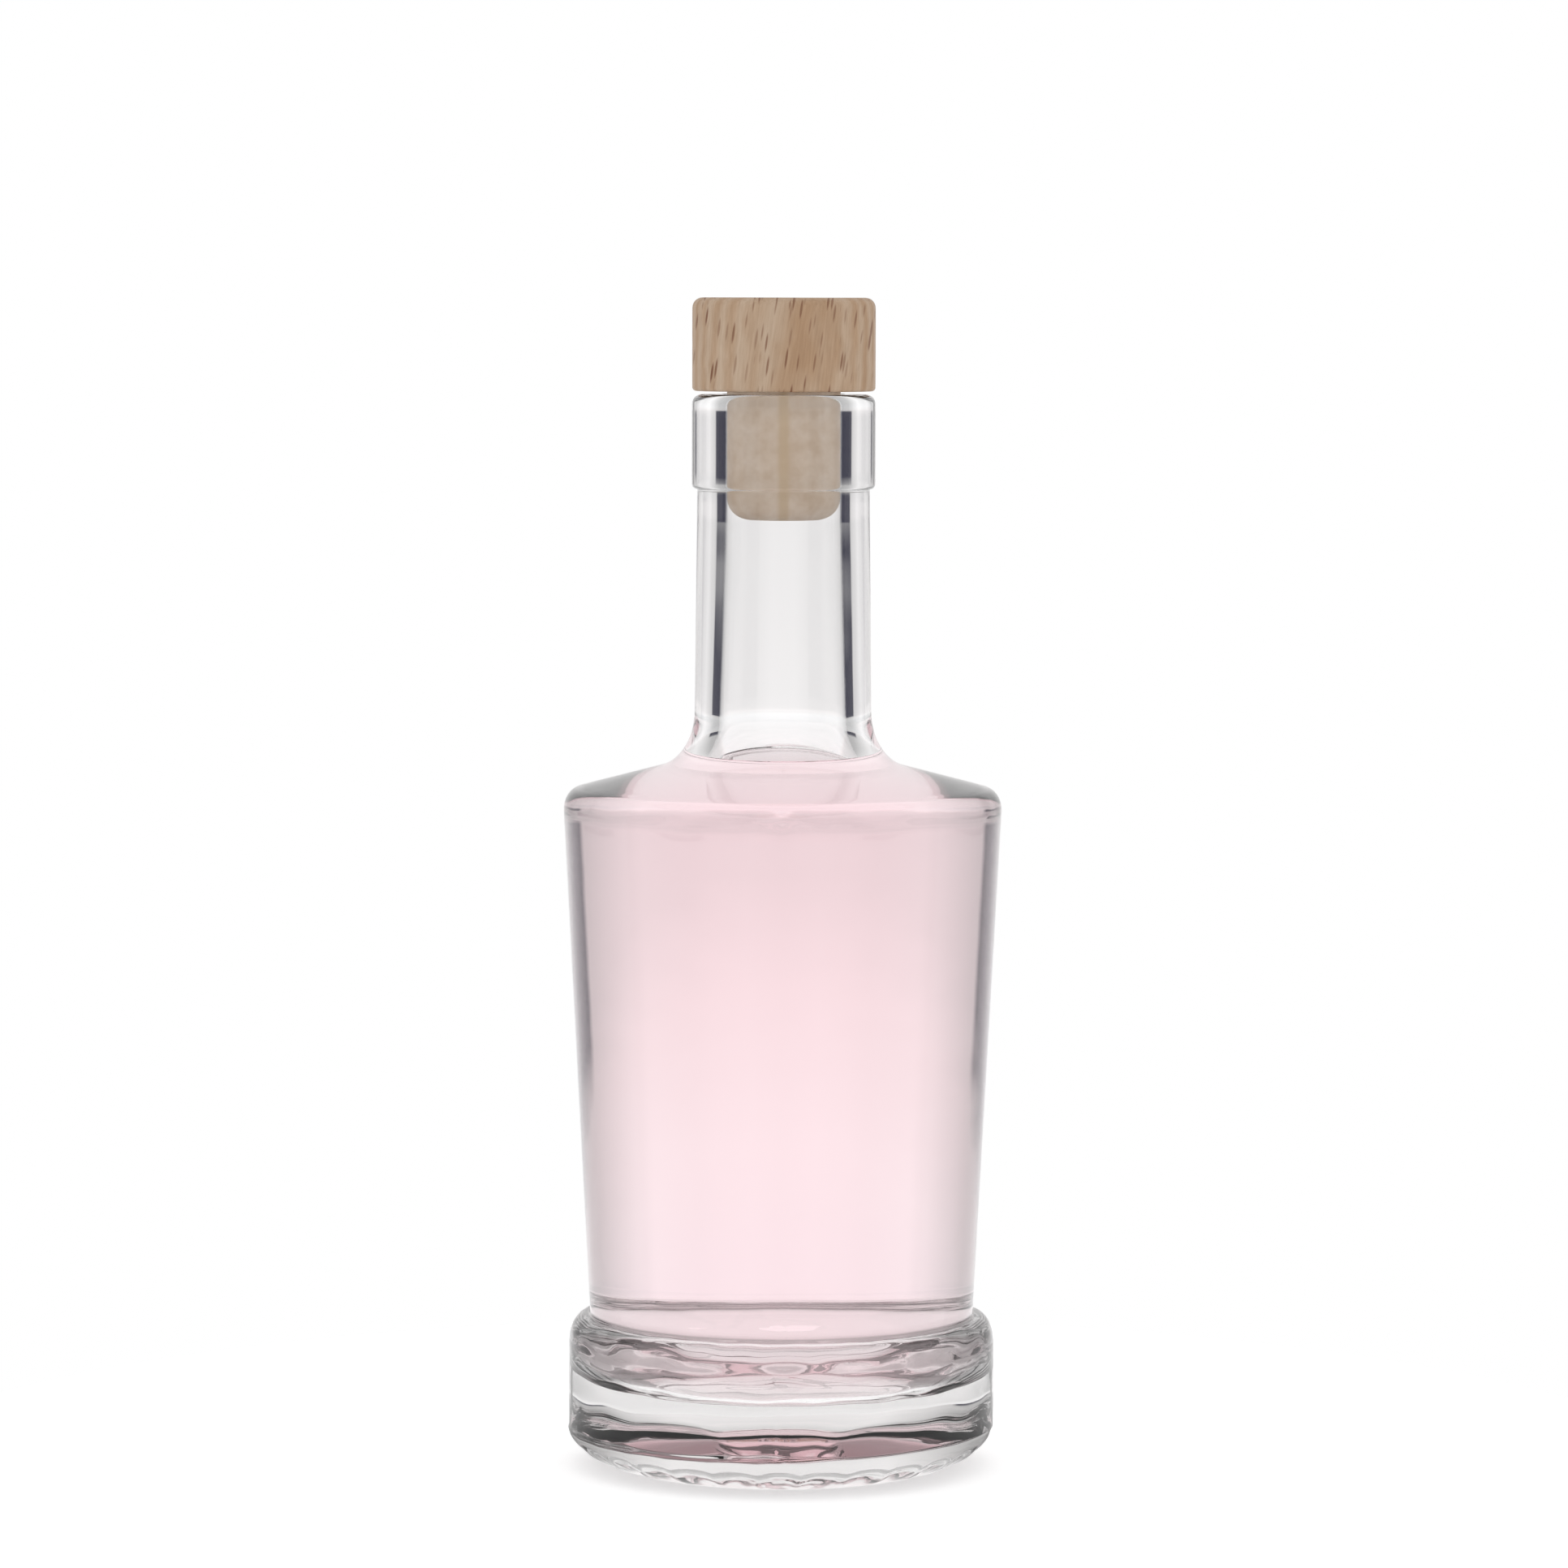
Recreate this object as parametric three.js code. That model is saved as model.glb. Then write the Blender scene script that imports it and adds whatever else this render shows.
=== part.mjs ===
// A clear glass bottle with a thick stepped foot, filled with pink liquid to the foot of its neck, and
// closed by a push-in stopper: a moulded shank glued into a turned beech head.
//
// Millimetres, +Z up. The origin is on the bottle's axis, on the surface that it stands on.
import * as THREE from "three";

// Every round surface is turned about the axis with this many flats, in line with each other.
const FLATS = 64;

// The gap left between two pieces that touch on the real object.
const CONTACT_GAP = 0.3;

// Foot: the heavy lower end of the bottle, which stands out below the body.
const FOOT_RADIUS = 34.6;
const FOOT_HEIGHT = 24.6;
const FOOT_TOP_ROUNDING = { down: 4.2, inwards: 2.5 };
const HEEL_ROUNDING = { inwards: 12.4, up: 7.0 };
const BEARING_RING_WIDTH = 4.7;
const PUSH_UP_HEIGHT = 2.0;
const PUSH_UP_SLOPE_RUN = 2.0;
const PUSH_UP_ROUNDING = { inwards: 3.0, outwards: 1.0 };

// Body: it widens from the foot to the shoulder.
const BODY_FOOT_RADIUS = 31.1;
const BODY_TOP_RADIUS = 35.6;
const BODY_LENGTH = 85.1;
const BODY_FOOT_FILLET = { inwards: 0.4, up: 1.1 };
const WALL = 2.8;
const FLOOR_THICKNESS = 13.2;
const FLOOR_RISE = 0.9;
const FLOOR_ROUNDING = { inwards: 8.5, up: 7.5 };

// Shoulder: a shallow cone between the body and the neck.
const SHOULDER_SLOPE = THREE.MathUtils.degToRad(14.7);
const SHOULDER_ROUNDING = { down: 3.2, inwards: 2.4 };
const NECK_FILLET = { outwards: 5.6, up: 7.4 };

// Neck, with the thicker finish ring that the stopper's head sits on.
const NECK_ROOT_RADIUS = 14.35;
const NECK_TOP_RADIUS = 13.9;
const NECK_LENGTH = 43.4;
const RING_RADIUS = 14.8;
const RING_HEIGHT = 15.2;
const RING_TOP_ROUNDING = 1.7;
const RING_FOOT_ROUNDING = 0.9;
const BORE_RADIUS = 9.4;
const BORE_ROUNDING = 0.7;
const NECK_HOLLOW_RADIUS = 10.5;

// Liquid: its surface lies this far above the corner of the body and the shoulder, at the foot of the neck.
const LIQUID_RISE = 4.1;

// Stopper. The shank fills the bore, and its upper end is glued into the head.
const SHANK_CLEARANCE = 0.25;
const SHANK_LENGTH = 25.4;
const SHANK_END_ROUNDING = 3.8;
const HEAD_RADIUS = 14.75;
const HEAD_HEIGHT = 15.0;
const HEAD_TOP_ROUNDING = 1.7;
const HEAD_FOOT_ROUNDING = 0.6;
const RECESS_DEPTH = 5.0;
const SEAT_GAP = 0.5;

// Places that follow from the sizes above.
const shoulderHeight = FOOT_HEIGHT + BODY_LENGTH;
const neckRootHeight = shoulderHeightAt(NECK_ROOT_RADIUS);
const ringFootHeight = neckRootHeight + NECK_LENGTH;
const rimHeight = ringFootHeight + RING_HEIGHT;
const liquidHeight = shoulderHeight + LIQUID_RISE;
const shankRadius = BORE_RADIUS - SHANK_CLEARANCE;
const recessRadius = shankRadius + CONTACT_GAP;
const shankFootBelowHead = SHANK_LENGTH + CONTACT_GAP - RECESS_DEPTH;

// Outlines

// A corner of an outline, at a radius and a height. Its rounding reaches the given lengths along the edges
// before and after it, and has the given number of flats.
function corner(radius, height, before = 0, after = before, flats = 3) {
  return { at: new THREE.Vector2(radius, height), before, after, flats };
}

// How far a rounding may reach along an edge that it shares with the next corner's rounding.
function reachOnEdge(from, to, own, neighbours) {
  const length = from.at.distanceTo(to.at);
  return own * Math.min(1, length / Math.max(own + neighbours, length));
}

// The points of an outline through the corners, each rounded by a curve whose handles lie this share of the
// way to the corner, which makes it close to an arc.
function outline(corners) {
  const fullness = 0.58;
  return corners.flatMap((c, i) => {
    if (c.before === 0 || c.after === 0) return [c.at];
    const previous = corners[i - 1];
    const next = corners[i + 1];
    const before = reachOnEdge(previous, c, c.before, previous.after);
    const after = reachOnEdge(c, next, c.after, next.before);
    const start = previous.at.clone().sub(c.at).setLength(before).add(c.at);
    const end = next.at.clone().sub(c.at).setLength(after).add(c.at);
    return new THREE.CubicBezierCurve(
      start,
      start.clone().lerp(c.at, fullness),
      end.clone().lerp(c.at, fullness),
      end,
    ).getPoints(c.flats);
  });
}

// A closed solid turned about the Z axis from points that start and end on it.
function turned(points) {
  return new THREE.LatheGeometry(points, FLATS).rotateX(Math.PI / 2);
}

// Glass

// The body's outer radius at a height. The wall follows it inside, down into the foot.
function bodyRadius(height) {
  const share = (height - FOOT_HEIGHT) / BODY_LENGTH;
  return THREE.MathUtils.lerp(BODY_FOOT_RADIUS, BODY_TOP_RADIUS, share);
}

// The shoulder's outer height at a radius, and on in to the axis of the neck.
function shoulderHeightAt(radius) {
  return shoulderHeight + (BODY_TOP_RADIUS - radius) * Math.tan(SHOULDER_SLOPE);
}

// The underside and the outside of the glass, from the axis out and up to the rim.
function outsideCorners() {
  const bearingRadius = FOOT_RADIUS - HEEL_ROUNDING.inwards;
  const pushUpRadius = bearingRadius - BEARING_RING_WIDTH;
  const ceilingRadius = pushUpRadius - PUSH_UP_SLOPE_RUN;
  return [
    corner(0, PUSH_UP_HEIGHT),
    corner(ceilingRadius, PUSH_UP_HEIGHT, PUSH_UP_ROUNDING.inwards, PUSH_UP_ROUNDING.outwards, 2),
    corner(pushUpRadius, 0),
    corner(FOOT_RADIUS, 0, HEEL_ROUNDING.inwards, HEEL_ROUNDING.up, 6),
    corner(FOOT_RADIUS, FOOT_HEIGHT, FOOT_TOP_ROUNDING.down, FOOT_TOP_ROUNDING.inwards, 5),
    corner(BODY_FOOT_RADIUS, FOOT_HEIGHT, BODY_FOOT_FILLET.inwards, BODY_FOOT_FILLET.up, 2),
    corner(BODY_TOP_RADIUS, shoulderHeight, SHOULDER_ROUNDING.down, SHOULDER_ROUNDING.inwards, 4),
    corner(NECK_ROOT_RADIUS, neckRootHeight, NECK_FILLET.outwards, NECK_FILLET.up, 6),
    corner(NECK_TOP_RADIUS, ringFootHeight),
    corner(RING_RADIUS, ringFootHeight, RING_FOOT_ROUNDING, RING_FOOT_ROUNDING, 2),
    corner(RING_RADIUS, rimHeight, RING_TOP_ROUNDING, RING_TOP_ROUNDING, 3),
  ];
}

// The inside of the glass from the rim to the foot of the seated shank.
function boreCorners() {
  return [
    corner(BORE_RADIUS, rimHeight, BORE_ROUNDING, BORE_ROUNDING, 2),
    corner(BORE_RADIUS, rimHeight + SEAT_GAP - shankFootBelowHead),
  ];
}

// The hollow that the bore opens into, from the root of the neck to the middle of the floor. Its ceiling and
// its wall follow the outside of the glass. It can be moved in from the glass by a gap.
function hollowCorners(gap) {
  const inset = WALL + gap;
  const below = inset / Math.cos(SHOULDER_SLOPE);
  const ceilingAt = (radius) => shoulderHeightAt(radius) - below;
  const root = NECK_HOLLOW_RADIUS - gap;
  const ceilingEdge = ceilingAt(BODY_TOP_RADIUS - inset);
  const floor = FLOOR_THICKNESS + gap;
  return [
    corner(root, ceilingAt(root), NECK_FILLET.up, NECK_FILLET.outwards, 5),
    corner(bodyRadius(ceilingEdge) - inset, ceilingEdge, SHOULDER_ROUNDING.inwards),
    corner(bodyRadius(floor) - inset, floor, FLOOR_ROUNDING.up, FLOOR_ROUNDING.inwards, 6),
    corner(0, floor + FLOOR_RISE),
  ];
}

function glassGeometry() {
  return turned(outline([...outsideCorners(), ...boreCorners(), ...hollowCorners(0)]));
}

// Liquid

// It fills the hollow from the floor to its level, which is where the hollow's outline is cut.
function liquidGeometry() {
  const neck = corner(NECK_HOLLOW_RADIUS - CONTACT_GAP, ringFootHeight);
  const hollow = outline([neck, ...hollowCorners(CONTACT_GAP)]);
  const wetted = hollow.findIndex((point) => point.y < liquidHeight);
  const above = hollow[wetted - 1];
  const below = hollow[wetted];
  const edge = below.clone().lerp(above, (liquidHeight - below.y) / (above.y - below.y));
  const surfaceDown = [new THREE.Vector2(0, liquidHeight), edge, ...hollow.slice(wetted)];
  return turned(surfaceDown.reverse());
}

// Stopper, with its own zero at the underside of the head

function headGeometry() {
  return turned(outline([
    corner(0, RECESS_DEPTH),
    corner(recessRadius, RECESS_DEPTH),
    corner(recessRadius, 0),
    corner(HEAD_RADIUS, 0, HEAD_FOOT_ROUNDING, HEAD_FOOT_ROUNDING, 3),
    corner(HEAD_RADIUS, HEAD_HEIGHT, HEAD_TOP_ROUNDING, HEAD_TOP_ROUNDING, 5),
    corner(0, HEAD_HEIGHT),
  ]));
}

function shankGeometry() {
  const top = RECESS_DEPTH - CONTACT_GAP;
  const foot = -shankFootBelowHead;
  return turned(outline([
    corner(0, foot),
    corner(shankRadius, foot, SHANK_END_ROUNDING, SHANK_END_ROUNDING, 5),
    corner(shankRadius, top),
    corner(0, top),
  ]));
}

// Assembly

const GLASS = new THREE.MeshStandardMaterial({
  color: 0xeef0f0,
  roughness: 0.04,
  metalness: 0,
  transparent: true,
  opacity: 0.35,
});
const PINK_LIQUID = new THREE.MeshStandardMaterial({
  color: 0xf9e3e9,
  roughness: 0.02,
  metalness: 0,
  transparent: true,
  opacity: 0.6,
});
const BEECH = new THREE.MeshStandardMaterial({ color: 0xaa917a, roughness: 0.65, metalness: 0 });
const SHANK_POLYMER = new THREE.MeshStandardMaterial({ color: 0xbba691, roughness: 0.6, metalness: 0 });

function named(name, geometry, material) {
  const mesh = new THREE.Mesh(geometry, material);
  mesh.name = name;
  return mesh;
}

const stopper = new THREE.Group();
stopper.name = "stopper";
stopper.position.z = rimHeight + SEAT_GAP;
stopper.add(
  named("stopper_head", headGeometry(), BEECH),
  named("stopper_shank", shankGeometry(), SHANK_POLYMER),
);

const bottleWithStopper = new THREE.Group();
bottleWithStopper.name = "bottle_with_stopper";
bottleWithStopper.add(
  named("bottle", glassGeometry(), GLASS),
  named("liquid", liquidGeometry(), PINK_LIQUID),
  stopper,
);

export default bottleWithStopper;
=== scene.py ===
"""The looks of a clear glass bottle of pink liquid with a beech-headed stopper.

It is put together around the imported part: glass, liquid, shank and head, then the floor, the light and
the camera.
"""

import math

import bmesh
import bpy
from mathutils import Matrix, Vector, noise
from mathutils.geometry import interpolate_bezier


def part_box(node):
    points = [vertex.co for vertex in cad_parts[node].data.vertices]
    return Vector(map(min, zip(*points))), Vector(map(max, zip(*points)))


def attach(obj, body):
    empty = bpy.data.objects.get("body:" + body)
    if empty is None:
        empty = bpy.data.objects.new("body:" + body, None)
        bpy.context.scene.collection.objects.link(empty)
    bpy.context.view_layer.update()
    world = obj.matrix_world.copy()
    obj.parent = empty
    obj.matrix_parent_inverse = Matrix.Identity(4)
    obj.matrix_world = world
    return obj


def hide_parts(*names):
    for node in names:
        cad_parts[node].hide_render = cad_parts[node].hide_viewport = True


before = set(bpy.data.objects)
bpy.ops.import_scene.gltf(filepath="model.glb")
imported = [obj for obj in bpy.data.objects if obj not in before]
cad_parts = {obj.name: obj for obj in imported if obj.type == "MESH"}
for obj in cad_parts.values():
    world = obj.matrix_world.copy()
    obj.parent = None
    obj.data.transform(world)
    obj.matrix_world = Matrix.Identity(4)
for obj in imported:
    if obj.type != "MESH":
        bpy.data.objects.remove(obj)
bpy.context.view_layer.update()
MM = 0.001

# Bottle
# One piece of clear flint glass, blown in a two-part mould on a bottom plate. The foot is thick and solid,
# the inside of the wall follows its own slightly uneven course, and the mould leaves faint seams.

FOOT_RADIUS = 34.6
FOOT_HEIGHT = 24.6
BODY_FOOT_RADIUS = 31.1
BODY_TOP_RADIUS = 35.6
BODY_LENGTH = 85.1
SHOULDER_SLOPE = math.tan(math.radians(14.7))
NECK_ROOT_RADIUS = 14.35
NECK_TOP_RADIUS = 13.9
RING_RADIUS = 14.8
RING_HEIGHT = 15.2
BORE_RADIUS = 9.4
NECK_HOLLOW_RADIUS = 10.5
WALL = 2.8
FLOOR_THICKNESS = 13.2
FLOOR_RISE = 0.9
PUSH_UP_HEIGHT = 2.0
BEARING_INNER_RADIUS = 17.5
BEARING_OUTER_RADIUS = 22.2
HEEL_CELLS = 28
CELL_INNER_RADIUS = 26.5
CELL_OUTER_RADIUS = 34.4
CELL_TOP = 6.8
CELL_DEPTH = 0.28
CELL_ROUNDNESS = 0.6
FOOT_RIPPLE = 0.16
FOOT_RIPPLE_LENGTH = 7.0
FOOT_RIPPLE_SQUEEZE = 2.2
FOOT_TOP_RIPPLE = 0.3
FOOT_TOP_RIPPLE_LENGTH = 4.0
FOOT_TOP_DEPTH = 4.0
BOTTOM_PLATE_HEIGHT = 6.2
BOTTOM_PLATE_SHIFT = 0.22
BOTTOM_PLATE_RAMP = 8.0
SEAM_HEIGHT = 0.09
SEAM_WIDTH = 0.35
BEAD_HEIGHT = 0.12
BEAD_BELOW_SHOULDER = 1.8
TURN_SECTORS = 16
GLASS_SECTOR_STEPS = 18
INNER_WAVE = 0.12
INNER_WAVE_LENGTH = 16.0
INNER_WAVE_STRETCH = 0.45
FLOOR_RIPPLE = 0.3
FLOOR_RIPPLE_LENGTH = 4.8
FLOOR_RIPPLE_SQUEEZE = 2.6
FLOOR_RIPPLE_REACH = 9.0
SHOULDER_RIPPLE_REACH = 5.0
SKIN_WAVE_LENGTH = 11.1

shoulder_height = FOOT_HEIGHT + BODY_LENGTH
shank_foot_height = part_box("stopper_shank")[0].z / MM
rim_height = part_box("bottle")[1].z / MM


def shoulder_height_at(radius):
    return shoulder_height + (BODY_TOP_RADIUS - radius) * SHOULDER_SLOPE


def body_radius(height):
    share = (height - FOOT_HEIGHT) / BODY_LENGTH
    return BODY_FOOT_RADIUS + share * (BODY_TOP_RADIUS - BODY_FOOT_RADIUS)


def rounded(corners, longest=2.2):
    """Points through corners of (radius, height, reach of its rounding before, reach after), in mm. A
    straight stretch is cut into steps no longer than longest, and a long rounding into more than a short."""
    handle = 0.58
    points = []
    for i, (radius, height, before, after) in enumerate(corners):
        at = Vector((radius, height))
        if not before or not after:
            stretch = [at]
        else:
            previous, following = corners[i - 1], corners[i + 1]
            arm_in = Vector(previous[:2]) - at
            arm_out = Vector(following[:2]) - at
            before *= min(1, arm_in.length / max(before + previous[3], arm_in.length))
            after *= min(1, arm_out.length / max(after + following[2], arm_out.length))
            flats = max(7, round((before + after) * 1.3))
            start = at + arm_in.normalized() * before
            end = at + arm_out.normalized() * after
            bend = interpolate_bezier(start, start.lerp(at, handle), end.lerp(at, handle), end, flats + 1)
            stretch = [p.to_2d() for p in bend]
        if points:
            gap = (stretch[0] - points[-1]).length
            steps = max(1, math.ceil(gap / longest))
            origin = points[-1]
            points += [origin.lerp(stretch[0], n / steps) for n in range(1, steps)]
        points += stretch
    return points


def turned(points, sector_steps):
    """A closed mesh turned about Z from points of (radius, height) that start and end on the axis. It
    spins one sector and then copies that round, which is much faster than one long spin."""
    bm = bmesh.new()
    row = [bm.verts.new((p.x * MM, 0, p.y * MM)) for p in points]
    edges = [bm.edges.new(pair) for pair in zip(row, row[1:])]
    sector = math.tau / TURN_SECTORS
    bmesh.ops.spin(
        bm, geom=row + edges, cent=(0, 0, 0), axis=(0, 0, 1), angle=sector, steps=sector_steps
    )
    first = bm.verts[:] + bm.edges[:] + bm.faces[:]
    for n in range(1, TURN_SECTORS):
        copied = bmesh.ops.duplicate(bm, geom=first)["geom"]
        verts = [g for g in copied if isinstance(g, bmesh.types.BMVert)]
        bmesh.ops.rotate(bm, verts=verts, cent=(0, 0, 0), matrix=Matrix.Rotation(n * sector, 3, "Z"))
    bmesh.ops.remove_doubles(bm, verts=bm.verts, dist=1e-6)
    bmesh.ops.recalc_face_normals(bm, faces=bm.faces)
    for face in bm.faces:
        face.smooth = True
    return bm


def settle(bm, name, body, material, replaced):
    """Turns a finished bmesh into the piece that stands for a CAD node."""
    mesh = bpy.data.meshes.new(name)
    bm.to_mesh(mesh)
    bm.free()
    piece = bpy.data.objects.new(name, mesh)
    bpy.context.scene.collection.objects.link(piece)
    mesh.materials.append(material)
    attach(piece, body)
    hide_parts(replaced)


def linear(hex_colour):
    """An sRGB hex colour as the linear RGBA that shaders take."""
    channels = [int(hex_colour[i : i + 2], 16) / 255 for i in (0, 2, 4)]
    return [c / 12.92 if c <= 0.04045 else ((c + 0.055) / 1.055) ** 2.4 for c in channels] + [1.0]


def new_material(name):
    """A material with an empty node tree, and that tree."""
    material = bpy.data.materials.new(name)
    material.use_nodes = True
    material.node_tree.nodes.clear()
    return material, material.node_tree


def add(tree, kind, inputs=None, **settings):
    """A node with its settings, and its inputs set to values or linked from sockets."""
    node = tree.nodes.new(kind)
    for key, value in settings.items():
        setattr(node, key, value)
    for key, value in (inputs or {}).items():
        if isinstance(value, bpy.types.NodeSocket):
            tree.links.new(value, node.inputs[key])
        else:
            node.inputs[key].default_value = value
    return node


def hollow_corners(sink):
    """The inside of the glass below the neck, from the root of the neck to the middle of the floor. A
    positive sink moves it into the glass."""
    inset = WALL - sink
    below = inset * math.hypot(1, SHOULDER_SLOPE)
    root = NECK_HOLLOW_RADIUS + sink
    edge = shoulder_height_at(BODY_TOP_RADIUS - inset) - below
    floor = FLOOR_THICKNESS - sink
    return [
        (root, shoulder_height_at(root) - below, 7.4, 5.6),
        (body_radius(edge) - inset, edge, 2.4, 2.4),
        (body_radius(floor) - inset, floor, 7.5, 8.5),
        (0, floor + FLOOR_RISE, 0, 0),
    ]


def uneven_inside(bm):
    """Moves the inside of the glass in and out a little, as blown glass has it. The liquid gets the
    same move as the glass that it wets."""
    for vert in bm.verts:
        place = vert.co / MM
        radius = place.to_2d().length
        outer = body_radius(place.z) if place.z < shoulder_height else NECK_ROOT_RADIUS
        on_outside = radius > outer - 0.55 * WALL or place.z < FLOOR_THICKNESS - 1
        by_shank = place.z > shank_foot_height - 4
        if on_outside or by_shank or radius < 1e-3:
            continue
        wave_place = Vector((place.x, place.y, INNER_WAVE_STRETCH * place.z))
        wave = noise.noise(wave_place / INNER_WAVE_LENGTH)
        vert.co.xy *= 1 + INNER_WAVE * wave / radius
        # Where the floor and the shoulder meet the wall the glass set in small ripples, which run level.
        by_floor = 1 - abs(place.z - FLOOR_THICKNESS - 3) / FLOOR_RIPPLE_REACH
        by_shoulder = 0.4 - abs(place.z - shoulder_height + 3) / SHOULDER_RIPPLE_REACH
        ripple_place = Vector((place.x, place.y, FLOOR_RIPPLE_SQUEEZE * place.z))
        ripple = max(0, by_floor, by_shoulder) * noise.noise(ripple_place / FLOOR_RIPPLE_LENGTH)
        vert.co += FLOOR_RIPPLE * ripple * Vector((place.x, place.y, radius)) / radius * MM


# Each corner is a radius and a height, with the reach of its rounding on the way in and on the way out.
outside_corners = [
    (0, PUSH_UP_HEIGHT, 0, 0),
    (BEARING_INNER_RADIUS - 2.0, PUSH_UP_HEIGHT, 3.0, 1.0),
    (BEARING_INNER_RADIUS, 0, 0.6, 0.6),
    (FOOT_RADIUS, 0, FOOT_RADIUS - BEARING_OUTER_RADIUS, 7.0),
    (FOOT_RADIUS, FOOT_HEIGHT, 4.2, 2.5),
    (BODY_FOOT_RADIUS, FOOT_HEIGHT, 0.4, 1.1),
    (BODY_TOP_RADIUS, shoulder_height, 3.2, 2.4),
    (NECK_ROOT_RADIUS, shoulder_height_at(NECK_ROOT_RADIUS), 5.6, 7.4),
    (NECK_TOP_RADIUS, rim_height - RING_HEIGHT, 0.4, 0.4),
    (RING_RADIUS, rim_height - RING_HEIGHT, 0.9, 0.9),
    (RING_RADIUS, rim_height, 1.7, 1.7),
    (BORE_RADIUS, rim_height, 0.7, 0.7),
    (BORE_RADIUS, shank_foot_height, 0.4, 0.4),
]
glass = turned(rounded(outside_corners + hollow_corners(0)), GLASS_SECTOR_STEPS)
uneven_inside(glass)
for vert in glass.verts:
    place = vert.co / MM
    radius = place.to_2d().length
    azimuth = math.atan2(place.y, place.x)
    # A plain row of shallow cells round the heel, as bottles have to grip the conveyor. They are cut as far
    # inwards as upwards.
    if place.z < CELL_TOP and CELL_INNER_RADIUS < radius < CELL_OUTER_RADIUS:
        across = (radius - CELL_INNER_RADIUS) / (CELL_OUTER_RADIUS - CELL_INNER_RADIUS)
        row = max(0, math.sin(math.pi * across)) ** CELL_ROUNDNESS
        cell = abs(math.cos(HEEL_CELLS / 2 * azimuth)) ** CELL_ROUNDNESS
        inwards = Vector((-place.x / radius, -place.y / radius, 1))
        vert.co += CELL_DEPTH * MM * row * cell * inwards
    # The mould was cooler at the foot, which left its skin a little rippled.
    if place.z < FOOT_HEIGHT + 0.1 and radius > BEARING_OUTER_RADIUS:
        chill_place = Vector((place.x, place.y, FOOT_RIPPLE_SQUEEZE * place.z))
        chill = noise.noise(chill_place / FOOT_RIPPLE_LENGTH)
        vert.co.xy *= 1 - FOOT_RIPPLE * (0.5 + 0.5 * chill) / radius
        if place.z > FOOT_HEIGHT - FOOT_TOP_DEPTH:
            top_chill = noise.noise(place / FOOT_TOP_RIPPLE_LENGTH)
            vert.co.z -= FOOT_TOP_RIPPLE * MM * (0.5 + 0.5 * top_chill)
    # The bottom plate sat a little to one side of the mould, which leaves a step round the heel.
    if place.z < BOTTOM_PLATE_HEIGHT and radius > BEARING_OUTER_RADIUS:
        slid = min(1, (radius - BEARING_OUTER_RADIUS) / BOTTOM_PLATE_RAMP)
        vert.co.x -= BOTTOM_PLATE_SHIFT * MM * slid
    # The two halves of the mould meet at the front and the back.
    on_neck = place.z > shoulder_height and radius > NECK_TOP_RADIUS - 0.4
    if on_neck or radius > body_radius(place.z) - 0.5:
        raised = SEAM_HEIGHT * math.exp(-((place.x / SEAM_WIDTH) ** 2))
        # A bead of glass ran into the joint under the front of the shoulder.
        if place.y < 0:
            off_bead = place.z - shoulder_height + BEAD_BELOW_SHOULDER
            raised += BEAD_HEIGHT * math.exp(-(place.x**2 + off_bead**2))
        vert.co.xy *= 1 + raised / radius

# Clear and colourless. Its polished skin bends what is behind it a little unevenly.
flint_glass, tree = new_material("fire-polished flint glass")
place = add(tree, "ShaderNodeTexCoord").outputs["Object"]
ripple = add(tree, "ShaderNodeTexNoise", {"Vector": place, "Scale": 1 / SKIN_WAVE_LENGTH / MM, "Detail": 1.0})
skin = add(
    tree,
    "ShaderNodeBump",
    {"Height": ripple.outputs["Fac"], "Strength": 0.04, "Distance": 0.6 * MM},
)
surface = add(
    tree,
    "ShaderNodeBsdfPrincipled",
    {
        "Base Color": (1, 1, 1, 1),
        "Roughness": 0.0,
        "IOR": 1.52,
        "Transmission Weight": 1.0,
        "Normal": skin.outputs[0],
    },
)
depth = add(tree, "ShaderNodeVolumeAbsorption", {"Color": linear("dcd6d4"), "Density": 4.0})
add(tree, "ShaderNodeOutputMaterial", {"Surface": surface.outputs[0], "Volume": depth.outputs[0]})
settle(glass, "bottle_glass", "bottle", flint_glass, "bottle")

# Liquid
# A pale pink clear liquid. Its surface climbs the glass in a narrow meniscus. The mesh sinks a little into
# the glass, so that light passes from glass to liquid with no film of air between them.

LIQUID_SINK = 0.03
MENISCUS_HEIGHT = 0.7
MENISCUS_WIDTH = 2.4
MENISCUS_STEPS = 10
LIQUID_TOP_STEPS = 14
# The tint that the liquid takes with depth, and how fast, per metre.
PINK = (0.93, 0.08, 0.24, 1)
PINK_DEPTH = 4.3
LIQUID_SECTOR_STEPS = 16

liquid_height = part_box("liquid")[1].z / MM
neck_point = (NECK_HOLLOW_RADIUS, rim_height, 0, 0)
wall_down = rounded([neck_point] + hollow_corners(LIQUID_SINK))
wetted = [p for p in wall_down if p.y < liquid_height + MENISCUS_HEIGHT - 0.2]
surface_in = []
for n in range(MENISCUS_STEPS):
    share = n / MENISCUS_STEPS
    radius = wetted[0].x - MENISCUS_WIDTH * share**1.5
    surface_in.append(Vector((radius, liquid_height + MENISCUS_HEIGHT * (1 - share) ** 2.6)))
for n in range(LIQUID_TOP_STEPS + 1):
    radius = (wetted[0].x - MENISCUS_WIDTH) * (1 - n / LIQUID_TOP_STEPS)
    surface_in.append(Vector((radius, liquid_height)))
liquid = turned(surface_in[::-1] + wetted, LIQUID_SECTOR_STEPS)
uneven_inside(liquid)

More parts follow.
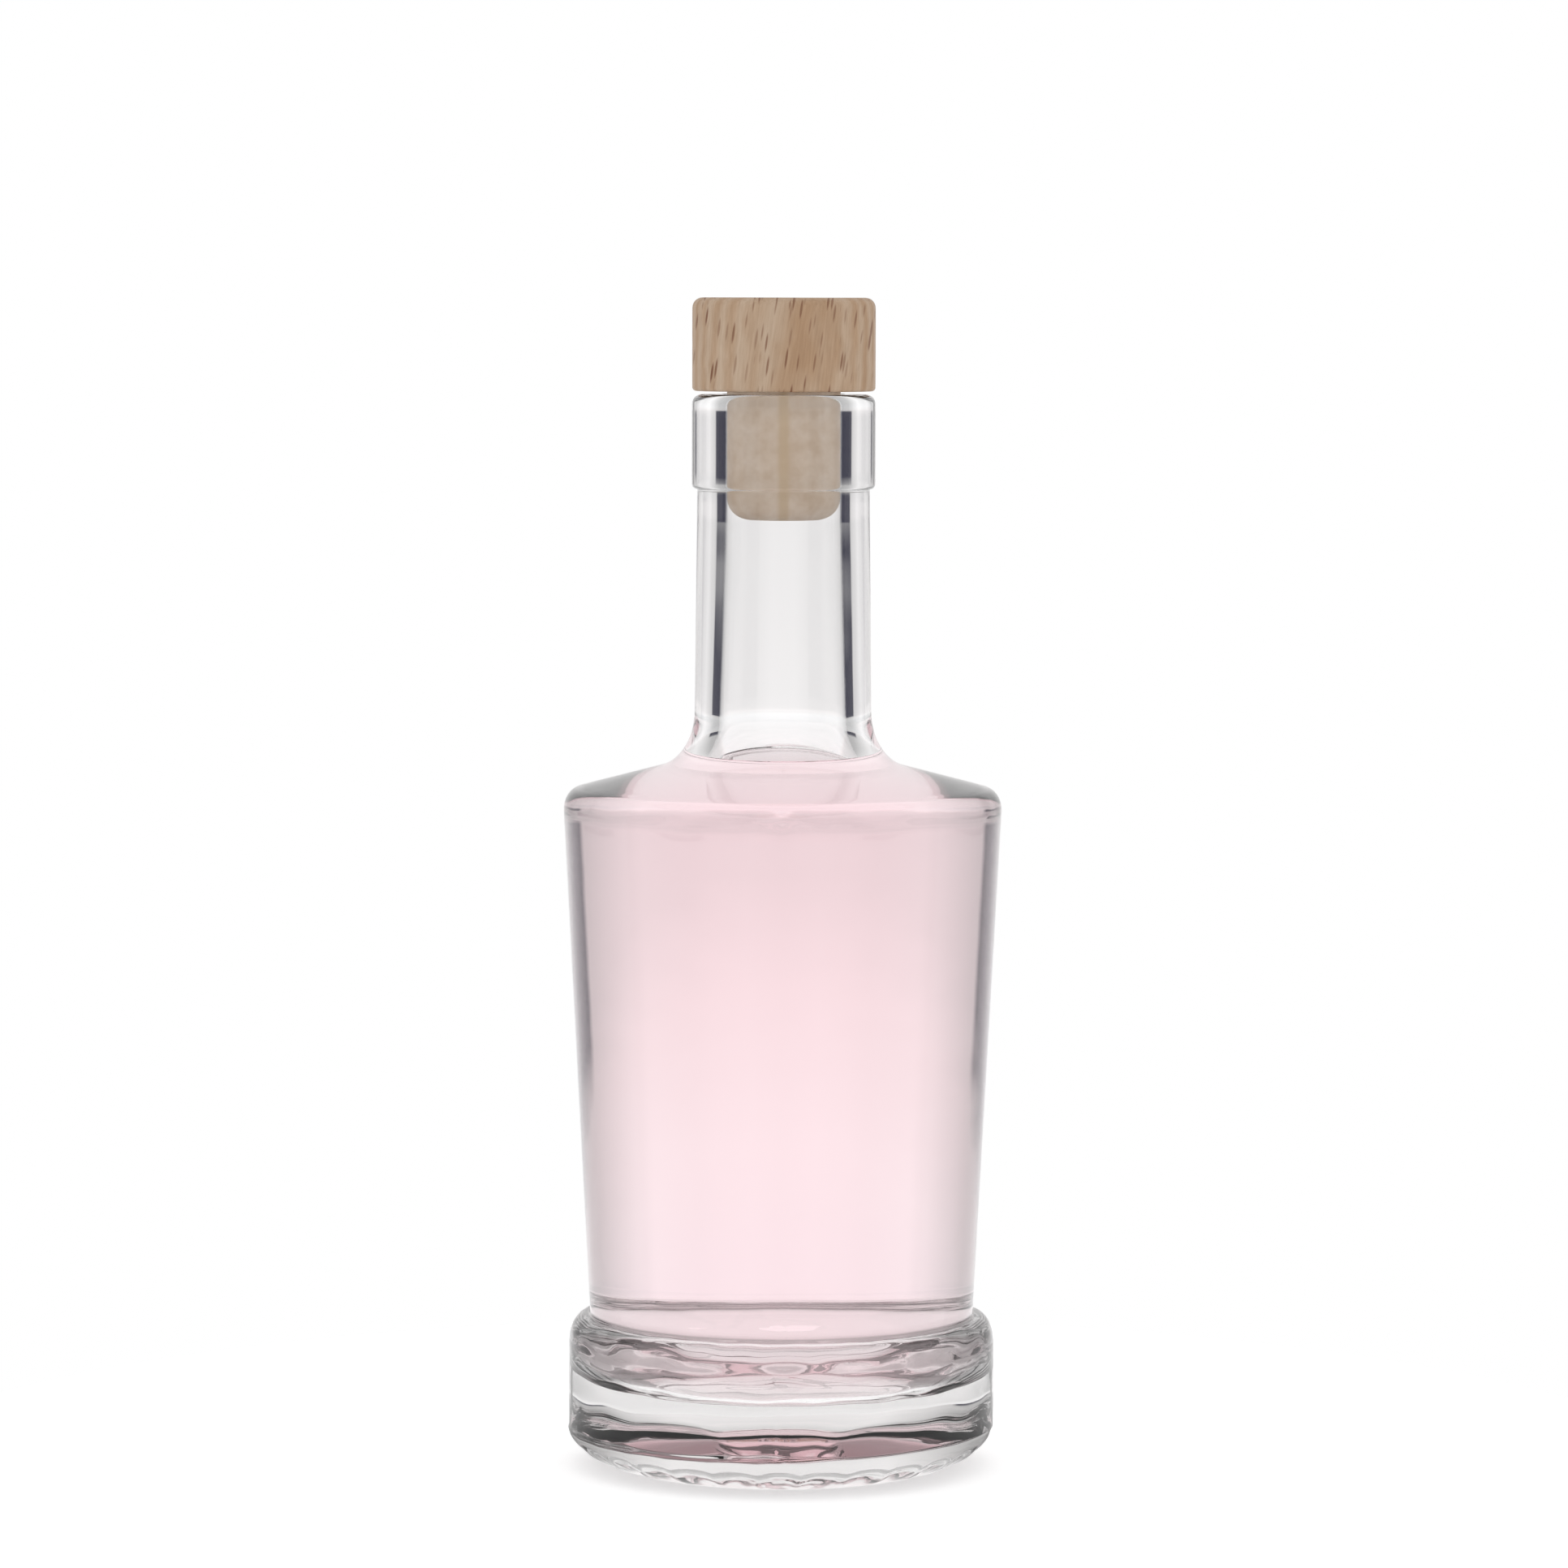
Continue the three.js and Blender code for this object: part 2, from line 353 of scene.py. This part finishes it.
# As clear as water, and pinker where the eye looks through more of it.
pink_liquid, tree = new_material("clear pink liquid")
surface = add(
    tree,
    "ShaderNodeBsdfPrincipled",
    {"Base Color": (1, 1, 1, 1), "Roughness": 0.0, "IOR": 1.34, "Transmission Weight": 1.0},
)
depth = add(tree, "ShaderNodeVolumeAbsorption", {"Color": PINK, "Density": PINK_DEPTH})
add(tree, "ShaderNodeOutputMaterial", {"Surface": surface.outputs[0], "Volume": depth.outputs[0]})
settle(liquid, "liquid_fill", "bottle", pink_liquid, "liquid")

# Stopper shank
# A beige polymer moulding with a cork-like mottle, pressed up into the head and glued there.

SHANK_END_ROUNDING = 3.8
SHANK_SECTOR_STEPS = 8
SHANK_SEAM_WIDTH = 1.1
MOTTLE_LENGTH = 2.38
STREAK_WIDTH = 3.85
STREAK_STRETCH = 0.12
# The two colours that go into a Mix node, and the one that comes out.
MIX_A = 6
MIX_B = 7
MIXED = 2

shank_low, shank_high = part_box("stopper_shank")
shank_radius = shank_high.x / MM
shank_corners = [
    (0, shank_low.z / MM, 0, 0),
    (shank_radius, shank_low.z / MM, SHANK_END_ROUNDING, SHANK_END_ROUNDING),
    (shank_radius, shank_high.z / MM, 0.2, 0.2),
    (0, shank_high.z / MM, 0, 0),
]
shank = turned(rounded(shank_corners, longest=1.0), SHANK_SECTOR_STEPS)

# Matt and even beige, with a faint mottle that makes it look like cork.
cork_polymer, tree = new_material("moulded cork-coloured polymer")
place = add(tree, "ShaderNodeTexCoord").outputs["Object"]
mottle = add(
    tree,
    "ShaderNodeTexNoise",
    {"Vector": place, "Scale": 1 / MOTTLE_LENGTH / MM, "Detail": 3.0, "Roughness": 0.6},
)
flow = add(tree, "ShaderNodeMapping", {"Vector": place, "Scale": (1.0, 1.0, STREAK_STRETCH)})
streak = add(
    tree,
    "ShaderNodeTexNoise",
    {"Vector": flow.outputs[0], "Scale": 1 / STREAK_WIDTH / MM, "Detail": 2.0},
)
blend = add(tree, "ShaderNodeMath", {0: mottle.outputs["Fac"], 1: streak.outputs["Fac"]}, operation="ADD")
tone = add(tree, "ShaderNodeMapRange", {"Value": blend.outputs[0], "From Min": 0.7, "From Max": 1.3})
colour = add(
    tree,
    "ShaderNodeMix",
    {"Factor": tone.outputs[0], MIX_A: linear("e2c8ad"), MIX_B: linear("f8e6d4")},
    data_type="RGBA",
)
# The two halves of its mould left a darker, yellower line down the front and the back.
sides = add(tree, "ShaderNodeSeparateXYZ", {0: place})
off_seam = add(tree, "ShaderNodeMath", {0: sides.outputs["X"]}, operation="ABSOLUTE")
on_seam = add(
    tree,
    "ShaderNodeMapRange",
    {
        "Value": off_seam.outputs[0],
        "From Min": 0.2 * MM,
        "From Max": SHANK_SEAM_WIDTH * MM,
        "To Min": 0.7,
        "To Max": 0.0,
    },
)
seamed = add(
    tree,
    "ShaderNodeMix",
    {"Factor": on_seam.outputs[0], MIX_A: colour.outputs[MIXED], MIX_B: linear("dcbe96")},
    data_type="RGBA",
)
pits = add(
    tree,
    "ShaderNodeBump",
    {"Height": mottle.outputs["Fac"], "Strength": 0.35, "Distance": 0.2 * MM},
)
surface = add(
    tree,
    "ShaderNodeBsdfPrincipled",
    {
        "Base Color": seamed.outputs[MIXED],
        "Roughness": 0.55,
        "IOR": 1.5,
        "Normal": pits.outputs[0],
    },
)
add(tree, "ShaderNodeOutputMaterial", {"Surface": surface.outputs[0]})
settle(shank, "shank_moulding", "stopper", cork_polymer, "stopper_shank")

# Stopper head
# A piece of beech, turned, sanded and left bare, with its grain along the axis and a blind hole below that
# the shank is glued into. Its rays show as short dark dashes on the sides.

HEAD_TOP_ROUNDING = 1.7
HEAD_FOOT_ROUNDING = 0.6
RECESS_RADIUS = 9.45
RECESS_DEPTH = 5.0
HEAD_SECTOR_STEPS = 10
GRAIN_LEAN = math.radians(-8)
RING_WIDTH = 3.0
DASH_PITCH = 0.68
DASH_LENGTH = 6.0
DASH_FLATNESS = 0.12
# Where the pith of the tree was, seen from the axis of the head.
PITH = (0.012, 0.055, 0)
# Real fibres are finer than this, and would vanish in the picture.
FIBRE_WIDTH = 0.385
FIBRE_STRETCH = 0.06
BAND_WIDTH = 4.35
# A wave texture repeats after this share of its scale.
WAVE_PERIOD = 0.314

head_low, head_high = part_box("stopper_head")
head_radius = head_high.x / MM
head_corners = [
    (0, head_low.z / MM + RECESS_DEPTH, 0, 0),
    (RECESS_RADIUS, head_low.z / MM + RECESS_DEPTH, 0, 0),
    (RECESS_RADIUS, head_low.z / MM, 0.2, 0.2),
    (head_radius, head_low.z / MM, HEAD_FOOT_ROUNDING, HEAD_FOOT_ROUNDING),
    (head_radius, head_high.z / MM, HEAD_TOP_ROUNDING, HEAD_TOP_ROUNDING),
    (0, head_high.z / MM, 0, 0),
]
head = turned(rounded(head_corners, longest=1.0), HEAD_SECTOR_STEPS)
for vert in head.verts:
    place = vert.co / MM
    if place.to_2d().length > RECESS_RADIUS + 1:
        vert.co.xy *= 1 + 0.03 * noise.noise(Vector((place.x, place.y, place.z)) / 3) / head_radius

# Pale brown and silky along the grain, with soft reddish bands and short dark flecks.
bare_beech, tree = new_material("sanded bare beech")
place = add(tree, "ShaderNodeTexCoord").outputs["Object"]
grain = add(tree, "ShaderNodeMapping", {"Vector": place, "Rotation": (0, GRAIN_LEAN, 0)}).outputs[0]
# Growth rings: broad soft bands, reddish in the late wood.
ring_room = add(tree, "ShaderNodeMapping", {"Vector": grain, "Location": PITH}).outputs[0]
rings = add(
    tree,
    "ShaderNodeTexWave",
    {
        "Vector": ring_room,
        "Scale": WAVE_PERIOD / (RING_WIDTH * MM),
        "Distortion": 5.0,
        "Detail": 3.0,
        "Detail Scale": 0.8,
    },
    wave_type="RINGS",
    rings_direction="Z",
)
# Fibres: fine streaks along the grain.
fibre_room = add(tree, "ShaderNodeMapping", {"Vector": grain, "Scale": (1.0, 1.0, FIBRE_STRETCH)}).outputs[0]
fibres = add(
    tree,
    "ShaderNodeTexNoise",
    {"Vector": fibre_room, "Scale": 1 / FIBRE_WIDTH / MM, "Detail": 3.0, "Roughness": 0.6},
)
bands = add(
    tree,
    "ShaderNodeTexNoise",
    {"Vector": fibre_room, "Scale": 1 / BAND_WIDTH / MM, "Detail": 2.0},
)
# Rays: thin plates, long towards the pith, short along the grain.
ray_room = add(
    tree,
    "ShaderNodeMapping",
    {"Vector": grain, "Scale": (1 / DASH_PITCH / MM, DASH_FLATNESS / DASH_PITCH / MM, 1 / DASH_LENGTH / MM)},
).outputs[0]
rays = add(tree, "ShaderNodeTexVoronoi", {"Vector": ray_room, "Scale": 1.0, "Randomness": 1.0})
dash = add(
    tree,
    "ShaderNodeMapRange",
    {"Value": rays.outputs["Distance"], "From Min": 0.2, "From Max": 0.33, "To Min": 1.0, "To Max": 0.0},
)
ray_kind = add(tree, "ShaderNodeSeparateColor", {0: rays.outputs["Color"]})
ray_depth = add(tree, "ShaderNodeMapRange", {"Value": ray_kind.outputs[0], "To Min": 0.35, "To Max": 0.95})
dash_depth = add(
    tree, "ShaderNodeMath", {0: dash.outputs[0], 1: ray_depth.outputs[0]}, operation="MULTIPLY"
)
soft_rings = add(tree, "ShaderNodeMath", {0: rings.outputs["Fac"], 1: 0.35}, operation="MULTIPLY")
wood_tone = add(
    tree, "ShaderNodeMath", {0: soft_rings.outputs[0], 1: bands.outputs["Fac"]}, operation="ADD"
)
tone = add(tree, "ShaderNodeMapRange", {"Value": wood_tone.outputs[0], "From Min": 0.3, "From Max": 1.05})
ground = add(
    tree,
    "ShaderNodeMix",
    {"Factor": tone.outputs[0], MIX_A: linear("b69576"), MIX_B: linear("ccb7a1")},
    data_type="RGBA",
)
streak_tone = add(
    tree, "ShaderNodeMapRange", {"Value": fibres.outputs["Fac"], "From Min": 0.3, "From Max": 0.7}
)
streaked = add(
    tree,
    "ShaderNodeMix",
    {"Factor": streak_tone.outputs[0], MIX_A: linear("ebe6e1"), MIX_B: linear("fefdfc")},
    data_type="RGBA",
)
wood = add(
    tree,
    "ShaderNodeMix",
    {"Factor": 1.0, MIX_A: ground.outputs[MIXED], MIX_B: streaked.outputs[MIXED]},
    data_type="RGBA",
    blend_type="MULTIPLY",
)
flecked = add(
    tree,
    "ShaderNodeMix",
    {"Factor": dash_depth.outputs[0], MIX_A: wood.outputs[MIXED], MIX_B: linear("7d5238")},
    data_type="RGBA",
)
nap = add(tree, "ShaderNodeBump", {"Height": fibres.outputs["Fac"], "Strength": 0.3, "Distance": 0.15 * MM})
surface = add(
    tree,
    "ShaderNodeBsdfPrincipled",
    {"Base Color": flecked.outputs[MIXED], "Roughness": 0.6, "IOR": 1.45, "Normal": nap.outputs[0]},
)
add(tree, "ShaderNodeOutputMaterial", {"Surface": surface.outputs[0]})
settle(head, "turned_head", "stopper", bare_beech, "stopper_head")

# Floor
# A white paper sweep under the bottle, which lies flat and keeps the bottle's soft shadow. What the glass
# bends shows it with a painted shadow round the foot and a painted pool of light under the bottle's front
# half.

FLOOR_RADIUS = 0.15
PAPER = (0.86, 0.86, 0.86)
# Where the painted shadow round the foot lies, how far it fades and how dark it is.
SHADE_RADIUS = 0.04
SHADE_FADE = 0.035
SHADE_DEPTH = 0.35
# How brightly the floor glows to what the glass bends, far off and in the painted pool of light under the
# bottle, and where that pool lies.
FLOOR_LIFT = 0.17
LIGHT_POOL_GLOW = 0.95
LIGHT_POOL_RADIUS = 0.026
LIGHT_POOL_FADE = 0.008
LIGHT_POOL_SHIFT = 0.012
FLOOR_LIFT_TO_CAMERA = 0.46

bm = bmesh.new()
bmesh.ops.create_circle(bm, cap_ends=True, radius=FLOOR_RADIUS, segments=96)
mesh = bpy.data.meshes.new("floor")
bm.to_mesh(mesh)
bm.free()
floor = bpy.data.objects.new("floor", mesh)
bpy.context.scene.collection.objects.link(floor)
floor.location.z = -0.00005
# Matt and plain white to the camera. To what the glass bends it carries a painted shadow and a painted pool
# of light.
paper, tree = new_material("white paper sweep")
floor_place = add(tree, "ShaderNodeTexCoord").outputs["Object"]
reach = add(tree, "ShaderNodeVectorMath", {0: floor_place}, operation="LENGTH")
# Painted shadow: near the foot the paper's colour is darkened, for every ray but the camera's.
shade = add(
    tree,
    "ShaderNodeMapRange",
    {
        "Value": reach.outputs["Value"],
        "From Min": SHADE_RADIUS,
        "From Max": SHADE_RADIUS + SHADE_FADE,
        "To Min": SHADE_DEPTH,
        "To Max": 1.0,
    },
)
path = add(tree, "ShaderNodeLightPath")
to_camera = path.outputs["Is Camera Ray"]
tone = add(tree, "ShaderNodeMath", {0: shade.outputs[0], 1: to_camera}, operation="MAXIMUM")
white = add(tree, "ShaderNodeVectorMath", {0: PAPER, "Scale": tone.outputs[0]}, operation="SCALE")
lit = add(tree, "ShaderNodeBsdfDiffuse", {"Color": white.outputs[0]})
# A painted pool of light, in place of the light that the glass throws on the floor under its front half:
# there the floor glows brightly, for every ray but the camera's.
light_pool_place = add(tree, "ShaderNodeVectorMath", {0: floor_place, 1: (0, LIGHT_POOL_SHIFT, 0)}, operation="ADD")
light_pool_reach = add(tree, "ShaderNodeVectorMath", {0: light_pool_place.outputs[0]}, operation="LENGTH")
painted_light_pool = add(
    tree,
    "ShaderNodeMapRange",
    {
        "Value": light_pool_reach.outputs["Value"],
        "From Min": LIGHT_POOL_RADIUS,
        "From Max": LIGHT_POOL_RADIUS + LIGHT_POOL_FADE,
        "To Min": LIGHT_POOL_GLOW,
        "To Max": FLOOR_LIFT,
    },
)
# The floor's glow: even to the camera, and to other rays bright in the painted pool of light and faint beyond
# it.
lifting = add(
    tree,
    "ShaderNodeMapRange",
    {"Value": to_camera, "To Min": painted_light_pool.outputs[0], "To Max": FLOOR_LIFT_TO_CAMERA},
)
lift = add(tree, "ShaderNodeEmission", {"Color": (1, 1, 1, 1), "Strength": lifting.outputs[0]})
both = add(tree, "ShaderNodeAddShader", {0: lit.outputs[0], 1: lift.outputs[0]})
add(tree, "ShaderNodeOutputMaterial", {"Surface": both.outputs[0]})
mesh.materials.append(paper)

# Light
# A white room. What the glass bends shows a broad light behind the bottle that falls off to its sides, with
# a dark card on either side, which makes the dark lines in the glass. The camera itself sees white.

ROOM = 0.96
ROOM_IN_REFLECTIONS = 0.22
BACKLIGHT = 1.14
CARD = (0.018, 0.018, 0.042, 1)
CARD_START = 43.8
CARD_END = 72
CARD_TOP = -0.5
CARD_TOP_FADE = 2.5
CARD_FOOT = -3.3
CARD_FOOT_SOFTNESS = 0.4
CARD_SOFTNESS = 1.5
# Degrees from straight behind the bottle, and the share of the light there.
FALL_OFF = {0: 0.947, 12: 0.965, 21: 1.0, 30: 0.86, 38: 0.75, 45: 0.63, 52: 0.53, 70: 0.474}
# Degrees below level, and the colour of the light there.
RISE = {0: "e6e5e5", 3.0: "eeecec", 4.0: "faf7f7", 5.4: "ffffff", 6.5: "fdfdfe", 12: "fafafa"}
RISE_DEPTH = 14

world = bpy.data.worlds.new("studio")
bpy.context.scene.world = world
world.use_nodes = True
tree = world.node_tree
tree.nodes.clear()
direction = add(tree, "ShaderNodeTexCoord").outputs["Generated"]
parts = add(tree, "ShaderNodeSeparateXYZ", {0: direction})
across = add(tree, "ShaderNodeMath", {0: parts.outputs["X"]}, operation="ABSOLUTE")
along = add(tree, "ShaderNodeMath", {0: parts.outputs["Y"]}, operation="ABSOLUTE")
turn = add(tree, "ShaderNodeMath", {0: across.outputs[0], 1: along.outputs[0]}, operation="ARCTAN2")
bearing = add(tree, "ShaderNodeMath", {0: turn.outputs[0]}, operation="DEGREES")
lifted = add(tree, "ShaderNodeMath", {0: parts.outputs["Z"]}, operation="ARCSINE")
elevation = add(tree, "ShaderNodeMath", {0: lifted.outputs[0]}, operation="DEGREES")

sideways = add(tree, "ShaderNodeMath", {0: bearing.outputs[0], 1: 90.0}, operation="DIVIDE")
fall_off = add(tree, "ShaderNodeValToRGB", {0: sideways.outputs[0]})
downwards = add(tree, "ShaderNodeMath", {0: elevation.outputs[0], 1: -RISE_DEPTH}, operation="DIVIDE")
rise = add(tree, "ShaderNodeValToRGB", {0: downwards.outputs[0]})
for ramp, stops in (
    (fall_off.color_ramp, {angle / 90: (share, share, share, 1) for angle, share in FALL_OFF.items()}),
    (rise.color_ramp, {angle / RISE_DEPTH: linear(tint) for angle, tint in RISE.items()}),
):
    ramp.elements.remove(ramp.elements[0])
    for place, stop_colour in stops.items():
        element = ramp.elements.new(place)
        element.color = stop_colour
    ramp.elements.remove(ramp.elements[-1])
glow = add(
    tree,
    "ShaderNodeMix",
    {"Factor": 1.0, MIX_A: fall_off.outputs[0], MIX_B: rise.outputs[0]},
    data_type="RGBA",
    blend_type="MULTIPLY",
)

opens = add(
    tree,
    "ShaderNodeMapRange",
    {
        "Value": bearing.outputs[0],
        "From Min": CARD_START - CARD_SOFTNESS,
        "From Max": CARD_START + CARD_SOFTNESS,
    },
)
closes = add(
    tree,
    "ShaderNodeMapRange",
    {
        "Value": bearing.outputs[0],
        "From Min": CARD_END - CARD_SOFTNESS,
        "From Max": CARD_END + CARD_SOFTNESS,
        "To Min": 1.0,
        "To Max": 0.0,
    },
)
shown = add(
    tree,
    "ShaderNodeMapRange",
    {
        "Value": elevation.outputs[0],
        "From Min": CARD_FOOT - CARD_FOOT_SOFTNESS,
        "From Max": CARD_FOOT + CARD_FOOT_SOFTNESS,
    },
)
under_top = add(
    tree,
    "ShaderNodeMapRange",
    {
        "Value": elevation.outputs[0],
        "From Min": CARD_TOP,
        "From Max": CARD_TOP + CARD_TOP_FADE,
        "To Min": 1.0,
        "To Max": 0.0,
    },
)
card = opens
for edge in (closes, shown, under_top):
    card = add(tree, "ShaderNodeMath", {0: card.outputs[0], 1: edge.outputs[0]}, operation="MULTIPLY")
backlight = add(tree, "ShaderNodeBackground", {"Color": glow.outputs[MIXED], "Strength": BACKLIGHT})
dark = add(tree, "ShaderNodeBackground", {"Color": CARD, "Strength": 1.0})
behind = add(tree, "ShaderNodeMixShader", {0: card.outputs[0], 1: backlight.outputs[0], 2: dark.outputs[0]})
path = add(tree, "ShaderNodeLightPath")
# What the glass bends or mirrors shows the light behind it, whereas matt pieces are lit by the whole room.
is_behind = add(tree, "ShaderNodeMath", {0: parts.outputs["Y"], 1: 0.0}, operation="GREATER_THAN")
through = path.outputs["Is Transmission Ray"]
bent = add(tree, "ShaderNodeMath", {0: through, 1: is_behind.outputs[0]}, operation="MAXIMUM")
matt = add(tree, "ShaderNodeMath", {0: path.outputs["Diffuse Depth"], 1: 0.5}, operation="GREATER_THAN")
strength = add(
    tree, "ShaderNodeMapRange", {"Value": matt.outputs[0], "To Min": ROOM_IN_REFLECTIONS, "To Max": ROOM}
)
room = add(tree, "ShaderNodeBackground", {"Color": (1, 1, 1, 1), "Strength": strength.outputs[0]})
white = add(tree, "ShaderNodeBackground", {"Color": (1, 1, 1, 1), "Strength": 1.0})
clear = add(
    tree, "ShaderNodeMath", {0: bent.outputs[0], 1: matt.outputs[0]}, operation="SUBTRACT", use_clamp=True
)
lighting = add(tree, "ShaderNodeMixShader", {0: clear.outputs[0], 1: room.outputs[0], 2: behind.outputs[0]})
to_camera = path.outputs["Is Camera Ray"]
seen = add(tree, "ShaderNodeMixShader", {0: to_camera, 1: lighting.outputs[0], 2: white.outputs[0]})
add(tree, "ShaderNodeOutputWorld", {"Surface": seen.outputs[0]})

scene = bpy.context.scene
scene.view_settings.view_transform = "Standard"
scene.cycles.max_bounces = 15
scene.cycles.transmission_bounces = 15
scene.cycles.glossy_bounces = 6

# Camera
# A long lens about a metre away, level with the stopper's top and tipped down at the bottle. Its place and
# tilt were solved from the photo.

FOCAL_PIXELS = 8000
IMAGE_PIXELS = 1932
SENSOR_WIDTH = 36.0
DISTANCE = 1.0473
CAMERA_HEIGHT = 0.18958
CAMERA_SIDE = 0.0002
PITCH = math.radians(4.296)
ROLL = math.radians(0.16)

lens = bpy.data.cameras.new("camera")
lens.sensor_width = SENSOR_WIDTH
lens.lens = FOCAL_PIXELS / IMAGE_PIXELS * SENSOR_WIDTH
lens.clip_start = 0.01
camera = bpy.data.objects.new("camera", lens)
bpy.context.scene.collection.objects.link(camera)
camera.location = (CAMERA_SIDE, -DISTANCE, CAMERA_HEIGHT)
camera.rotation_mode = "XYZ"
camera.rotation_euler = (math.pi / 2 - PITCH, 0, 0)
camera.rotation_euler.rotate_axis("Z", ROLL)
scene.camera = camera
